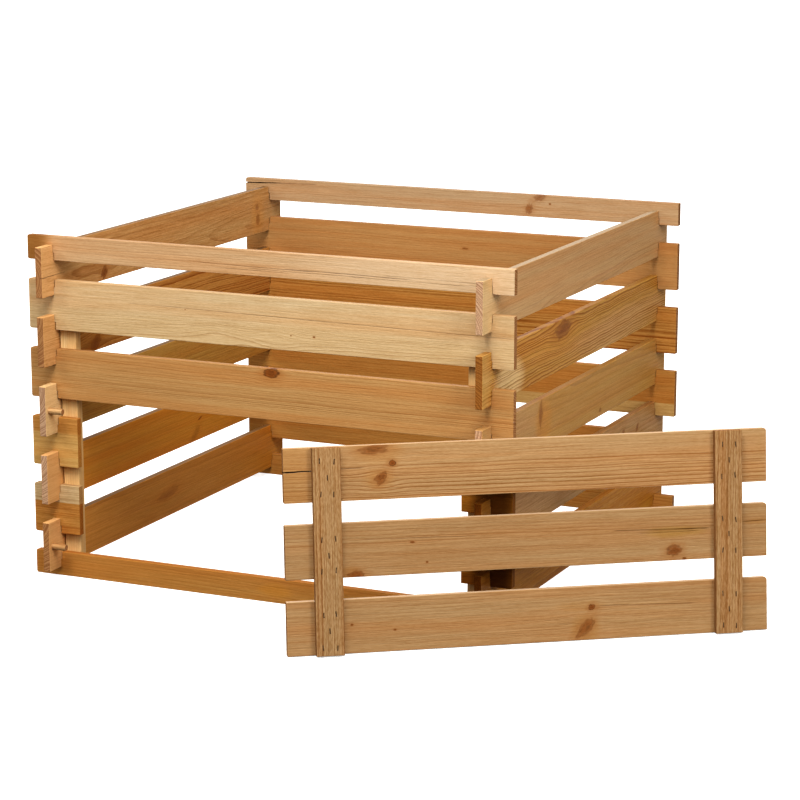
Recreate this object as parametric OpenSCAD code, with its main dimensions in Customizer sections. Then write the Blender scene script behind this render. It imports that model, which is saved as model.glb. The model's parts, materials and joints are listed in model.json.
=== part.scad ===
// Slatted wooden composter. Notched boards stack crosswise like a log cabin, two
// corner battens tie the short front boards, and a lift-out front panel leans on
// the right-hand corner. Millimetres, +Z up, front towards -Y, and the origin is the
// middle of the front bottom board's underside.

/* [Boards] */
// Length of every full board
board_len = 1000; // [800:10:1300]
// Height of a full board
board_h = 97; // [85:1:115]
// Height of the half boards at the top and bottom of the front and back
half_h = 47; // [42:1:60]
// Thickness of the boards
board_t = 14; // [12:1:18]
// Clear gap between two boards of one wall
wall_gap = 37; // [30:1:44]
// How far a board runs past the board that it crosses
overhang = 42.5; // [38:0.5:50]
// Radius of the rounded corners at a board's ends
end_r = 6; // [3:0.5:9]
// Width of the 45 degree easing along every long edge
ease = 1.5; // [0.5:0.1:2.5]

/* [Notches] */
// Play between a crossing board's outer face and the notch
notch_outer_play = 1; // [0.5:0.1:2]
// Play between a crossing board's inner face and the notch
notch_inner_play = 2; // [0.5:0.1:3]

/* [Front opening] */
// Length of the short boards on each side of the front opening
stub_len = 100; // [90:1:140]

/* [Corner battens] */
// Width of the battens behind the short boards
corner_batten_w = 34; // [26:1:36]
// Thickness of the corner battens
corner_batten_t = 18; // [16:1:24]
// Clear space between a corner batten and the side boards
corner_batten_play = 2.5; // [1:0.5:5]
// Height of a corner batten's foot above the ground
corner_batten_foot = 5; // [2:1:12]
// How far a corner batten runs up behind the second front board
corner_batten_lap = 40; // [25:1:60]
// Length of the screws that hold a corner batten
screw_len = 28; // [24:1:30]
// Shank diameter of those screws
screw_d = 4; // [3:0.5:5]
// Head diameter of those screws
screw_head_d = 8; // [7:0.5:9]
// Distance between the two screws in one short board
screw_spread = 44; // [30:1:50]

/* [Pegs] */
// Diameter of the pegs that hold the front panel in its channel
peg_d = 12; // [8:0.5:14]
// How far a peg stands out of its side board
peg_reach = 30; // [20:1:36]
// Distance from a side board's front end to its peg's centre line
peg_setback = 13; // [12:0.5:14]
// Chamfer round a peg's free end
peg_chamfer = 1; // [0.5:0.5:2]

/* [Front panel] */
// Clear gap between the boards of the front panel
panel_gap = 39; // [30:1:45]
// Play between the panel's ends and the side boards when it is fitted
panel_side_play = 3.5; // [2:0.5:6]
// Corner radius at the left end of a panel board
panel_left_r = 2; // [1:0.5:6]
// Corner radius at the right end of a panel board
panel_right_r = 5; // [1:0.5:8]
// Width of the two battens that join the panel boards
panel_batten_w = 50; // [40:1:70]
// Thickness of the panel battens
panel_batten_t = 14; // [12:1:20]
// Distance from a panel end to its batten
panel_batten_inset = 50; // [45:1:80]

/* [Staples] */
// Height of a staple's crown
staple_w = 9; // [7:0.5:12]
// Thickness of the staple wire
staple_wire = 1.2; // [0.8:0.1:1.6]
// Length of a staple's legs below its crown
staple_leg = 22; // [20:1:24]
// Distance from a batten's side edge to the outer staples
staple_edge = 13; // [10:1:16]
// Distance from a board's top edge to the upper staples
staple_top = 24; // [16:1:28]
// Distance from a board's lower edge to the lower staples
staple_bottom = 15; // [12:1:20]

/* [Panel set aside] */
// Turn of the panel about the vertical, seen from above
panel_turn = 35.1; // [25:0.1:40]
// Angle by which the panel leans back
panel_lean = 6; // [3:0.1:10]
// Distance from the panel's left end to the corner that it leans on
panel_past_corner = 359; // [300:1:500]
// Gap left where the panel leans on the corner
panel_touch = 0.3; // [0.2:0.1:0.8]

/* [Hidden] */
$fn = 64;

// Overshoot that lets a cutting tool run past the face that it cuts
over = 1;
// Play of a glued peg or a driven screw in its hole, all round
hole_play = 0.05;

// Wall layout: boards of one wall repeat at the pitch, and the side walls stand half
// a pitch lower, so that every crossing shares its height between two notches
pitch = board_h + wall_gap;
crossing_h = (board_h - wall_gap) / 2;
notch_d = crossing_h / 2;
notch_w = board_t + notch_outer_play + notch_inner_play;
notch_start = overhang - notch_outer_play;
span = board_len - 2 * overhang;
inner_half = span / 2 - board_t;
front_y = -board_t / 2;
back_y = front_y + span;
middle_y = front_y + span / 2;
wall_top = 2 * half_h + 4 * board_h + 5 * wall_gap;

// Underside of a front or back board: tier 1 is the top half board, tier 6 the bottom one
function long_z(tier) = tier == 6 ? 0 : tier == 1 ? wall_top - half_h : half_h + wall_gap + (5 - tier) * pitch;
// Underside of a side board, tier 1 at the top and tier 5 at the bottom
function side_z(tier) = half_h - crossing_h + (5 - tier) * pitch;

// Corner battens, with their screws in the middle of their width
corner_batten_x = inner_half - corner_batten_play - corner_batten_w;
corner_batten_y = front_y + board_t;
corner_batten_h = long_z(2) + corner_batten_lap - corner_batten_foot;
screw_x = corner_batten_x + corner_batten_w / 2;
screw_y = corner_batten_y + corner_batten_t;
screw_taper = (screw_head_d - screw_d) / 2;
screw_rim = 0.6;
screw_point = 3;
stub_tiers = [4, 5];

// Pegs stand in the third and fifth side boards
peg_y = front_y - overhang + peg_setback;
peg_tiers = [3, 5];

// Front panel, in its own frame: left end at X = 0, back face on Y = 0, foot on Z = 0
panel_len = 2 * (inner_half - panel_side_play);
panel_pitch = board_h + panel_gap;
panel_h = 2 * panel_pitch + board_h;
panel_batten_xs = [panel_batten_inset, panel_len - panel_batten_inset - panel_batten_w];
staple_y = -board_t - panel_batten_t;
panel_reach = (panel_h - ease) * sin(panel_lean);
panel_drop = ease * sin(panel_lean);

// Outlines and sections

// Waste outside a quarter circle at the corner [0, 0] of a board's outline
module corner_waste(r) {
    if (r > 0) {
        difference() {
            translate([-over, -over]) square(r + over);
            translate([r, r]) circle(r);
        }
    }
}

// Face of a board, its left end at X = 0, with its own corner radius at each end
module board_face(len, h, r_left, r_right) {
    difference() {
        square([len, h]);
        corner_waste(r_left);
        translate([0, h]) mirror([0, 1]) corner_waste(r_left);
        translate([len, 0]) mirror([1, 0]) corner_waste(r_right);
        translate([len, h]) rotate(180) corner_waste(r_right);
    }
}

// Cross-section of a sawn board with eased edges: thickness along X, height along Y
module eased_section(t, h) {
    polygon([
        [ease, 0], [t - ease, 0], [t, ease], [t, h - ease],
        [t - ease, h], [ease, h], [0, h - ease], [0, ease]
    ]);
}

// Boards

// Board from its left end at X = 0, outer face on Y = 0, foot on Z = 0. The notches
// start at the given distances from the left end
module board(len, h, starts, notch_foot, notch_head, r_left = end_r, r_right = end_r) {
    intersection() {
        translate([0, board_t, 0]) rotate([90, 0, 0]) linear_extrude(board_t) difference() {
            board_face(len, h, r_left, r_right);
            for (x = starts) {
                if (notch_foot) translate([x, -over]) square([notch_w, notch_d + over]);
                if (notch_head) translate([x, h - notch_d]) square([notch_w, notch_d + over]);
            }
        }
        rotate([90, 0, 90]) linear_extrude(len) eased_section(board_t, h);
    }
}

// Full-length board with a notch near each end
module notched_board(h, notch_foot, notch_head) {
    starts = [notch_start, board_len - notch_start - notch_w];
    translate([-board_len / 2, 0, 0]) board(board_len, h, starts, notch_foot, notch_head);
}

// Board of the front or back wall; side is -1 for the front and 1 for the back
module long_board(side, tier) {
    h = tier == 1 || tier == 6 ? half_h : board_h;
    translate([0, side < 0 ? front_y : back_y, long_z(tier)])
        rotate(side < 0 ? 0 : 180)
            notched_board(h, tier != 6, tier != 1);
}

// Board of the left (-1) or right (1) wall, bored for its peg where it carries one
module side_board(side, tier) {
    difference() {
        translate([side * span / 2, middle_y, side_z(tier)])
            rotate(side * 90) notched_board(board_h, true, true);
        for (peg_tier = peg_tiers) if (peg_tier == tier)
            peg_line(side, tier, over) cylinder(h = board_t + 2 * over, d = peg_d + 2 * hole_play);
    }
}

// Short front board beside the opening, sawn square at its inner end
module stub(side, tier) {
    difference() {
        translate([0, front_y, long_z(tier)]) mirror([side > 0 ? 1 : 0, 0, 0])
            translate([-board_len / 2, 0, 0])
                board(stub_len, board_h, [notch_start], true, true, end_r, 0);
        corner_screw_set(side, hole_play);
    }
}

// Corner battens and their screws

// Screw along -Y with its head's face on Y = 0; play widens it into its own hole
module screw(play) {
    r = screw_d / 2 + play;
    head_r = screw_head_d / 2 + play;
    top = play > 0 ? -over : 0;
    rotate([90, 0, 0]) rotate_extrude() polygon([
        [0, top], [head_r, top], [head_r, screw_rim], [r, screw_rim + screw_taper],
        [r, screw_len - screw_point], [0, screw_len + play]
    ]);
}

// Four screws of one corner batten, two in each short board
module corner_screw_set(side, play = 0) {
    for (tier = stub_tiers, end = [-1, 1])
        translate([side * screw_x, screw_y, long_z(tier) + board_h / 2 + end * screw_spread / 2])
            screw(play);
}

module corner_batten(side) {
    difference() {
        mirror([side > 0 ? 0 : 1, 0, 0]) translate([corner_batten_x, corner_batten_y, corner_batten_foot])
            linear_extrude(corner_batten_h) eased_section(corner_batten_w, corner_batten_t);
        corner_screw_set(side, hole_play);
    }
}

// Pegs

// Axis of a side board's peg: the children's Z runs inwards and starts at the board's
// outer face, or the given length outside it
module peg_line(side, tier, outside = 0) {
    translate([side * (span / 2 + outside), peg_y, side_z(tier) + board_h / 2])
        rotate([0, -side * 90, 0]) children();
}

module peg(side, tier) {
    shank = board_t + peg_reach - peg_chamfer;
    peg_line(side, tier) union() {
        cylinder(h = shank, d = peg_d);
        translate([0, 0, shank]) cylinder(h = peg_chamfer, d1 = peg_d, d2 = peg_d - 2 * peg_chamfer);
    }
}

// Front panel

// Puts the panel where it stands when it is set aside: foot on the ground, turned, and
// leaning on the front outer edge of the right-hand side boards
module panel_aside() {
    translate([span / 2, front_y - overhang, 0]) rotate(panel_turn)
        translate([-panel_past_corner, -panel_reach - panel_touch, -panel_drop])
            rotate([-panel_lean, 0, 0]) children();
}

// One staple, its crown upright in the batten's outer face and its legs along +Y
module staple() {
    translate([-staple_wire / 2, staple_y, -staple_w / 2]) {
        cube([staple_wire, staple_wire, staple_w]);
        for (z = [0, staple_w - staple_wire])
            translate([0, 0, z]) cube([staple_wire, staple_leg, staple_wire]);
    }
}

// Five staples where one batten crosses one panel board, row 0 at the bottom
module crossing_staples(batten_x, row) {
    low = row * panel_pitch + staple_bottom;
    high = row * panel_pitch + board_h - staple_top;
    left = batten_x + staple_edge;
    right = batten_x + panel_batten_w - staple_edge;
    places = [[left, low], [right, low], [(left + right) / 2, (low + high) / 2], [left, high], [right, high]];
    for (p = places) translate([p[0], 0, p[1]]) staple();
}

module panel_board(row) {
    difference() {
        translate([0, -board_t, row * panel_pitch])
            board(panel_len, board_h, [], false, false, panel_left_r, panel_right_r);
        for (x = panel_batten_xs) crossing_staples(x, row);
    }
}

module panel_batten(index) {
    x = panel_batten_xs[index];
    difference() {
        translate([x, -board_t - panel_batten_t, 0])
            linear_extrude(panel_h) eased_section(panel_batten_w, panel_batten_t);
        for (row = [0:2]) crossing_staples(x, row);
    }
}

// Pieces

module front_board_1() { color("#C9935F") long_board(-1, 1); }
module front_board_2() { color("#D6AE74") long_board(-1, 2); }
module front_board_3() { color("#BC8045") long_board(-1, 3); }
module front_stub_upper_left() { color("#C79A5E") stub(-1, 4); }
module front_stub_upper_right() { color("#B98048") stub(1, 4); }
module front_stub_lower_left() { color("#B97A3F") stub(-1, 5); }
module front_stub_lower_right() { color("#A96B33") stub(1, 5); }
module front_bottom_board() { color("#B37A43") long_board(-1, 6); }

module back_board_1() { color("#D09B66") long_board(1, 1); }
module back_board_2() { color("#B67A45") long_board(1, 2); }
module back_board_3() { color("#C07A35") long_board(1, 3); }
module back_board_4() { color("#B57D45") long_board(1, 4); }
module back_board_5() { color("#A96F3A") long_board(1, 5); }
module back_bottom_board() { color("#A87440") long_board(1, 6); }

module left_board_1() { color("#B07E47") side_board(-1, 1); }
module left_board_2() { color("#B98650") side_board(-1, 2); }
module left_board_3() { color("#BE8B52") side_board(-1, 3); }
module left_board_4() { color("#AB7439") side_board(-1, 4); }
module left_board_5() { color("#A56C35") side_board(-1, 5); }

module right_board_1() { color("#BF9A6C") side_board(1, 1); }
module right_board_2() { color("#C49A5E") side_board(1, 2); }
module right_board_3() { color("#BB8C55") side_board(1, 3); }
module right_board_4() { color("#B5844B") side_board(1, 4); }
module right_board_5() { color("#AD7A42") side_board(1, 5); }

module corner_batten_left() { color("#D3B07A") corner_batten(-1); }
module corner_batten_right() { color("#D3B07A") corner_batten(1); }
module corner_screws() { color("#A9A69C") for (side = [-1, 1]) corner_screw_set(side); }

module peg_upper_left() { color("#D2A977") peg(-1, peg_tiers[0]); }
module peg_upper_right() { color("#D2A977") peg(1, peg_tiers[0]); }
module peg_lower_left() { color("#C8A26E") peg(-1, peg_tiers[1]); }
module peg_lower_right() { color("#C8A26E") peg(1, peg_tiers[1]); }

module panel_board_top() { color("#C48F5A") panel_aside() panel_board(2); }
module panel_board_middle() { color("#B97F48") panel_aside() panel_board(1); }
module panel_board_bottom() { color("#BF8850") panel_aside() panel_board(0); }
module panel_batten_left() { color("#BC9360") panel_aside() panel_batten(0); }
module panel_batten_right() { color("#B38A58") panel_aside() panel_batten(1); }
module panel_staples() {
    color("#4A3B2C") panel_aside()
        for (x = panel_batten_xs, row = [0:2]) crossing_staples(x, row);
}

front_board_1();
front_board_2();
front_board_3();
front_stub_upper_left();
front_stub_upper_right();
front_stub_lower_left();
front_stub_lower_right();
front_bottom_board();
back_board_1();
back_board_2();
back_board_3();
back_board_4();
back_board_5();
back_bottom_board();
left_board_1();
left_board_2();
left_board_3();
left_board_4();
left_board_5();
right_board_1();
right_board_2();
right_board_3();
right_board_4();
right_board_5();
corner_batten_left();
corner_batten_right();
corner_screws();
peg_upper_left();
peg_upper_right();
peg_lower_left();
peg_lower_right();
panel_board_top();
panel_board_middle();
panel_board_bottom();
panel_batten_left();
panel_batten_right();
panel_staples();
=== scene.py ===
"""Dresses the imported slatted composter: oiled pine boards, pegs, lift-out panel and studio."""

import json
import math
import random
from contextlib import contextmanager
from dataclasses import dataclass

import bmesh
import bpy
from bpy.props import FloatProperty, FloatVectorProperty, PointerProperty
from mathutils import Matrix, Vector


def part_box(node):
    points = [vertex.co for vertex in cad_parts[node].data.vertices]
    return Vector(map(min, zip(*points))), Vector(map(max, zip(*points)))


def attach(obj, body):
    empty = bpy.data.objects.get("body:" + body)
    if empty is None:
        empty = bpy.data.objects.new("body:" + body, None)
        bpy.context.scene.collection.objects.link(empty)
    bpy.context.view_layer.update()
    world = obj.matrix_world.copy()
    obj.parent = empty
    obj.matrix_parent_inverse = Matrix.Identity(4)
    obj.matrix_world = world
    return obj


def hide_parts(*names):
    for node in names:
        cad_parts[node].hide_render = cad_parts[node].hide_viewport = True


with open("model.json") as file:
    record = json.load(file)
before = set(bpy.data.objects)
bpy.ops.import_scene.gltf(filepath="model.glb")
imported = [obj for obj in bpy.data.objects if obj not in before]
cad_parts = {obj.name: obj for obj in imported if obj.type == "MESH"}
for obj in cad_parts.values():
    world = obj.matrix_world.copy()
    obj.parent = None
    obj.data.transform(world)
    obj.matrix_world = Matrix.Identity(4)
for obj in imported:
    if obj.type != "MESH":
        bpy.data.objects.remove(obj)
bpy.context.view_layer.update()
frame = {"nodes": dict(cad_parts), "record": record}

bl_info = {
    "name": "Slatted Composter",
    "version": (1, 0, 0),
    "blender": (4, 5, 0),
    "location": "View3D > Sidebar > Composter",
    "description": "Models and finishes the notched pine boards, pegs and front panel of a compost bin",
    "category": "Add Mesh",
}

BODY_OF = {node: body for body, nodes in frame["record"]["behaviour"]["bodies"].items() for node in nodes}
MM = 0.001

# How far a cutter runs past the face that it cuts, how far a finished piece may leave its
# node's box, and the tolerance within which two places are the same
CLEAR = 10 * MM
STRAY = 3 * MM
TINY = 0.01 * MM

# Where a crack's cutter is divided, as shares of its length, and how far it wanders
CRACK_SHARES = (0.2, 0.32, 0.44, 0.56, 0.68, 0.8, 0.9)
CRACK_WANDER = 0.3 * MM

# Play of a peg in its bore, the bore's broken edge, and the rounding of the peg's ends
PEG_PLAY = 0.05 * MM
BORE_BREAK = 0.3 * MM
PEG_ROUNDING = 0.9 * MM

# Rim and point of a screw, the play and the depth at which it is sunk, its broken edges, its
# recess (half width, depth, and reach as a share of the head's width), and the turn from one
# screw's recess to the next, in radians
SCREW_RIM = 0.6 * MM
SCREW_POINT = 3 * MM
SCREW_PLAY = 0.15 * MM
SCREW_SINK = 0.1 * MM
SCREW_BREAK = 0.12 * MM
RECESS_SLOT = 0.55 * MM
RECESS_FLOOR = 1.8 * MM
RECESS_SHARE = 0.29
RECESS_TURN = 0.7

# Dent that a staple leaves beside, beyond and below its wire, the broken edges of the dent
# and the wire, and the most that a staple is tilted, in radians
DENT_BESIDE = 0.35 * MM
DENT_BEYOND = 0.6 * MM
DENT_BELOW = 0.2 * MM
DENT_BREAK = 0.2 * MM
WIRE_BREAK = 0.25 * MM
STAPLE_TILT = 0.14


def linear(code):
    """Scene-linear colour of a hex colour code."""
    channels = [int(code[i:i + 2], 16) / 255 for i in (1, 3, 5)]
    return tuple(c / 12.92 if c <= 0.04045 else ((c + 0.055) / 1.055) ** 2.4 for c in channels)


# Settings that a user would change

def length(name, description, default, low, high):
    """Property of a length, in millimetres."""
    return FloatProperty(
        name=name, description=description, default=default * MM, min=low * MM, max=high * MM, unit="LENGTH")


def angle(name, description, degrees, **limits):
    """Property of an angle, in degrees."""
    return FloatProperty(
        name=name, description=description, default=math.radians(degrees), subtype="ANGLE", **limits)


def strength(name, description, default):
    """Property of a light's strength."""
    return FloatProperty(name=name, description=description, default=default, min=0)


def tone(name, code, description):
    """Property of one colour."""
    return FloatVectorProperty(
        name=name, description=description, default=linear(code), size=3, min=0, max=1, subtype="COLOR")


class ComposterBoards(bpy.types.PropertyGroup):
    """Sizes of the sawn boards that the frame doesn't give"""
    worn_end: length("Worn End", "Corner radius at a board's left or back end, which took knocks", 4, 0, 20)
    crisp_end: length("Crisp End", "Corner radius at a board's freshly sawn right or front end", 1.6, 0, 20)
    rounding: length("Edge Rounding", "Radius worn on the long edges", 0.9, 0.2, 3)
    arris: length("Notch Arris", "Radius worn on the sawn edges of the notches", 0.35, 0.1, 1)
    outer_play: length("Outer Play", "Slit between a crossing board's outer face and the notch", 1, 0, 4)
    inner_play: length("Inner Play", "Slit between a crossing board's inner face and the notch", 2, 0, 4)
    bow: length("Bow", "Most that a seasoned board bows between its notches", 0.9, 0, 2)
    twist: angle("Twist", "Most that a seasoned board twists end to end", 0.3, min=0, max=math.radians(1))


class ComposterPanel(bpy.types.PropertyGroup):
    """Stand of the front panel and its worn corners"""
    turn: angle("Turn", "Turn of the panel about the vertical", 35.1)
    lean: angle("Lean", "Angle by which the panel leans back", 6)
    left_radius: length("Left Corner Radius", "Radius of the left corners of a panel board", 2, 0, 10)
    right_radius: length("Right Corner Radius", "Radius of a panel board's upper right corner", 5, 0, 10)
    foot_radius: length("Right Foot Radius", "Radius of a panel board's lower right corner", 1.5, 0, 10)


class ComposterFixings(bpy.types.PropertyGroup):
    """Screws of the corner battens and staples of the front panel"""
    screw_length: length("Screw Length", "Length of a screw from its head to its point", 28, 10, 30)
    screw_width: length("Screw Width", "Diameter of a screw's shank", 4, 2, 6)
    head_width: length("Head Width", "Diameter of a screw's head", 8, 5, 10)
    screw_spread: length("Screw Spread", "Distance between the two screws in one short board", 44, 20, 60)
    staple_width: length("Staple Width", "Length of a staple's crown", 9, 6, 12)
    staple_wire: length("Staple Wire", "Thickness of the staple wire", 1.2, 0.8, 1.6)
    staple_leg: length("Staple Leg", "Length of a staple's legs", 22, 10, 25)
    staple_edge: length("Staple Edge", "Distance from a batten's side to its outer staples", 13, 8, 20)
    staple_top: length("Staple Top", "Distance from a board's top edge to its upper staples", 24, 10, 30)
    staple_foot: length("Staple Foot", "Distance from a board's lower edge to its lower staples", 15, 10, 30)
    scatter: length("Staple Scatter", "How far a hand-driven staple strays from its mark", 1.4, 0, 3)
    sink: length("Staple Sink", "Depth of a staple's crown below the batten's face", 0.5, 0, 2)


class ComposterTones(bpy.types.PropertyGroup):
    """Tones of oiled pine, from sapwood to heartwood, with tones of painted light and painted shade"""
    pale: tone("Pale", "#DBC19C", "Sapwood, straw yellow")
    blond: tone("Blond", "#DBC095", "Sapwood, warm yellow")
    blush: tone("Blush", "#E6C9A5", "Sapwood, pale pink")
    tan: tone("Tan", "#D8B793", "Sapwood, pinkish tan")
    honey: tone("Honey", "#D3AD70", "Oiled pine, honey yellow")
    amber: tone("Amber", "#C69D6B", "Oiled pine, orange brown")
    russet: tone("Russet", "#CA9553", "Heartwood, reddish orange")
    copper: tone("Copper", "#C49764", "Oiled pine, reddish brown")
    gold: tone("Gold", "#CA9D55", "Heartwood, golden brown")
    umber: tone("Umber", "#D99840", "Heartwood, deep brown")
    fawn: tone("Fawn", "#D2AB7E", "Sapwood, greyish tan")
    straw: tone("Straw", "#FCE2B0", "Planed batten, dull straw")
    # Painted light: paler tone for side board front ends that stick out into the light, and for a patch where
    # the panel's shadow falls on a right side board
    bleached: tone("Bleached", "#DEAF79", "Board ends that the sun bleached")
    cut: tone("End Grain", "#A3764C", "End grain that took up more oil")
    fresh: tone("Fresh End", "#B89576", "Freshly sawn end grain")
    # Dark end tone: painted shade on the right-hand short boards behind the panel, elsewhere end grain
    # darkened by oil
    deep: tone("Deep End", "#8C5C2A", "End grain dark with oil")
    # Painted shade: near-black tone for the shadow behind the panel, on the right-hand short boards and on
    # the front ends of right side boards 4 and 5
    dusk: tone("Dusk", "#5C3514", "End grain and face ends nearly black with oil")
    rim: tone("Sawn Edge", "#8E7A60", "Narrow edge that weathered to grey")
    # Edge tone of the left side boards' top edges inside the bin: partly grey weathering, partly painted
    # shade
    shaded: tone("Stained Edge", "#6B5034", "Narrow edge stained grey brown")
    knot: tone("Knot", "#7F471C", "Heart of a knot")
    # Bark tone: also the painted shade on the walls of cracks and in the panel battens' staple dents
    bark: tone("Bark Ring", "#40200E", "Ring of bark round a knot, and open cracks")
    steel: tone("Zinc", "#BDB9AE", "Zinc-plated screws")
    wire: tone("Wire", "#4A3D31", "Tarnished staple wire")


class ComposterStudio(bpy.types.PropertyGroup):
    """Camera and lights"""
    eye: FloatVectorProperty(
        name="Camera", description="Place of the camera", size=3, subtype="TRANSLATION", unit="LENGTH",
        default=(2.2371, -4.3468, 1.4495))
    heading: angle("Heading", "Turn of the camera to the left of straight back", 24.285)
    dip: angle("Dip", "Angle of the camera's axis below the horizon", 12.276)
    lens: FloatProperty(
        name="Lens", description="Focal length on a 36 mm sensor, in millimetres",
        default=121.29, min=20, max=300)
    left: strength("Left", "Power of the softbox on the left, in watts", 42)
    right: strength("Right", "Power of the softbox on the right, in watts", 77)
    top: strength("Top", "Power of the overhead softbox, in watts", 165)
    back: strength("Back", "Power of the softbox behind, in watts", 85)
    ceiling: strength("Ceiling", "Strength of the white ceiling", 0.62)
    wall: strength("Wall", "Strength of the dim walls round the studio", 0.06)
    floor: tone("Floor", "#F7F6F4", "Pale studio floor")


class ComposterSettings(bpy.types.PropertyGroup):
    """All settings of the composter"""
    boards: PointerProperty(type=ComposterBoards)
    panel: PointerProperty(type=ComposterPanel)
    fixings: PointerProperty(type=ComposterFixings)
    tones: PointerProperty(type=ComposterTones)
    studio: PointerProperty(type=ComposterStudio)


# Shader maths

class Value:
    """One output of a material's nodes, which takes part in sums as a number does."""

    def __init__(self, finish, socket):
        self.finish = finish
        self.socket = socket

    def math(self, operation, *others):
        """Math node on this value and the others."""
        return self.finish.node("ShaderNodeMath", {"operation": operation}, dict(enumerate((self, *others))))

    def __add__(self, other):
        return self.math("ADD", other)

    __radd__ = __add__

    def __sub__(self, other):
        return self.math("SUBTRACT", other)

    def __rsub__(self, other):
        return (self * -1) + other

    def __mul__(self, other):
        return self.math("MULTIPLY", other)

    __rmul__ = __mul__

    def __truediv__(self, other):
        return self.math("DIVIDE", other)

    def __pow__(self, other):
        return self.math("POWER", other)

    def __abs__(self):
        return self.math("ABSOLUTE")

    def smooth(self, start, end):
        """Smooth step from 0 at start to 1 at end."""
        return self.finish.node(
            "ShaderNodeMapRange", {"interpolation_type": "SMOOTHSTEP"},
            {"Value": self, "From Min": start, "From Max": end})

    def within(self, start, end, soft):
        """Soft window: 1 between start and end."""
        return self.smooth(start - soft, start + soft) * (1 - self.smooth(end - soft, end + soft))


class Finish:
    """Builds the nodes of one material, or of the studio's surround."""

    def __init__(self, owner):
        owner.use_nodes = True
        self.owner = owner
        self.tree = owner.node_tree
        self.tree.nodes.clear()

    def node(self, kind, settings=None, inputs=None, output=0):
        """Adds a node, sets it up, feeds its sockets and returns one of its outputs."""
        node = self.tree.nodes.new(kind)
        for key, setting in (settings or {}).items():
            setattr(node, key, setting)
        for key, value in (inputs or {}).items():
            socket = node.inputs[key]
            if isinstance(value, Value):
                self.tree.links.new(value.socket, socket)
            elif socket.type == "RGBA":
                socket.default_value = (*value[:3], 1)
            else:
                socket.default_value = value
        return Value(self, node.outputs[output]) if node.outputs else None

    def vector(self, operation, *values, output="Vector"):
        """Vector Math node on the values."""
        return self.node("ShaderNodeVectorMath", {"operation": operation}, dict(enumerate(values)), output)

    def mix(self, factor, first, second, blend="MIX"):
        """Mixes two colours: 6, 7 and 2 are the Mix node's colour sockets."""
        settings = {"data_type": "RGBA", "blend_type": blend}
        return self.node("ShaderNodeMix", settings, {0: factor, 6: first, 7: second}, 2)

    def scaled(self, colour, factor):
        """A colour times a number."""
        return self.node("ShaderNodeVectorMath", {"operation": "SCALE"}, {0: colour, "Scale": factor})

    def split(self, vector):
        """The three parts of a vector."""
        node = self.node("ShaderNodeSeparateXYZ", None, {0: vector}).socket.node
        return [Value(self, socket) for socket in node.outputs]

    def cloud(self, vector, scale, seed, detail=2.0):
        """Noise from about -1 to 1 with its own scale on each axis."""
        moved = self.vector("MULTIPLY_ADD", vector, scale, (seed * 1.37, seed * 2.11, seed * 0.73))
        noise = self.node("ShaderNodeTexNoise", {"noise_dimensions": "3D"},
                          {"Vector": moved, "Scale": 1, "Detail": detail, "Roughness": 0.55})
        return (noise - 0.5) * 3.4

    def bump(self, height, strength, distance):
        """Normal of a surface with this relief."""
        settings = {"Height": height, "Strength": strength, "Distance": distance}
        return self.node("ShaderNodeBump", None, settings)

    def surface(self, varying, constant):
        """Principled surface: varying sockets take links, constant ones plain numbers."""
        shader = self.node("ShaderNodeBsdfPrincipled", None, {**varying, **constant})
        self.node("ShaderNodeOutputMaterial", None, {"Surface": shader})
        return self.owner


# Pine

@dataclass
class Knot:
    """A knot: place along and up the board from its middle, radius, stretch along the grain and turn."""
    along: float
    up: float
    size: float
    stretch: float = 1.3
    turn: float = 0.0
    dark: float = 0.8
    ragged: float = 0.2


@dataclass
class Split:
    """A second tone above a line along the board (or below it, where side is -1)."""
    up: float
    tone: str
    soft: float = 0.0015
    side: int = 1


@dataclass
class Line:
    """A thin dark line of resin along the grain, from one place on the board to another."""
    start: float
    start_up: float
    end: float
    end_up: float
    width: float = 0.0012
    strength: float = 0.6


@dataclass
class Patch:
    """A patch of stains or resin, and also each patch of painted light or painted shade: its middle, its
    reach along and up the board, its tone and strength, and how far it calms the rings under it."""
    along: float
    up: float
    reach: float
    height: float
    tone: str
    strength: float = 0.5
    calms: float = 0.85


def end_patch(tone, strength, reach=0.08):
    """Patch round a board's left or front end: stains, and on some boards painted light on an end that sticks
    out into the light, or painted shade on an end in the panel's shadow.
    """
    return Patch(-0.5, 0, reach, 0.3, tone, strength)


@dataclass
class Crack:
    """A drying crack in the outer face, from a board's left or front end to where it closes."""
    start_up: float
    end_along: float
    end_up: float
    width: float = 0.0024
    depth: float = 0.008


@dataclass
class Grain:
    """How one board was sawn from its tree, in metres: its tone and shade, the rings' width, the
    pith's height, depth and slope, how far the rings wander and wave, how dark they are, how
    rough or plain the wood is, and the tones of its sawn ends and of its narrow edges."""
    tone: str
    seed: int
    shade: float = 1.0
    ring: float = 0.005
    up: float = 0.0
    depth: float = 0.05
    slope: float = 0.01
    wander: float = 0.006
    contrast: float = 0.45
    rough: float = 0.0
    plain: float = 0.0
    end: str = "cut"
    edge: str = ""
    edge_from: float = -1.0
    wave: float = 0.0010
    calm: tuple = ()
    knots: tuple = ()
    splits: tuple = ()
    lines: tuple = ()
    patches: tuple = ()
    cracks: tuple = ()


# Tints that a tone is multiplied by, for the latewood, the narrow edges, the sawn ends and
# their bands, the warmer and yellower streaks of one board, and its fibres
LATE_TINT = (0.56, 0.40, 0.24)
EDGE_TINT = (0.72, 0.65, 0.58)
END_TINT = (0.66, 0.50, 0.34)
BAND_TINT = (0.52, 0.40, 0.32)
WARM_TINT = (1.0, 0.88, 0.74)
STRAW_TINT = (1.01, 1.03, 1.0)
FIBRE_TINT = (0.70, 0.60, 0.47)
HALO_TINT = (0.68, 0.45, 0.26)
END_LIGHT = 1.15


def inside(through, half, near=0.6 * MM, deep=1.8 * MM):
    """Mask of what lies below both faces of a board, such as the walls of a crack."""
    return through.within(near + deep - half, half - near - deep, deep)


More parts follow.
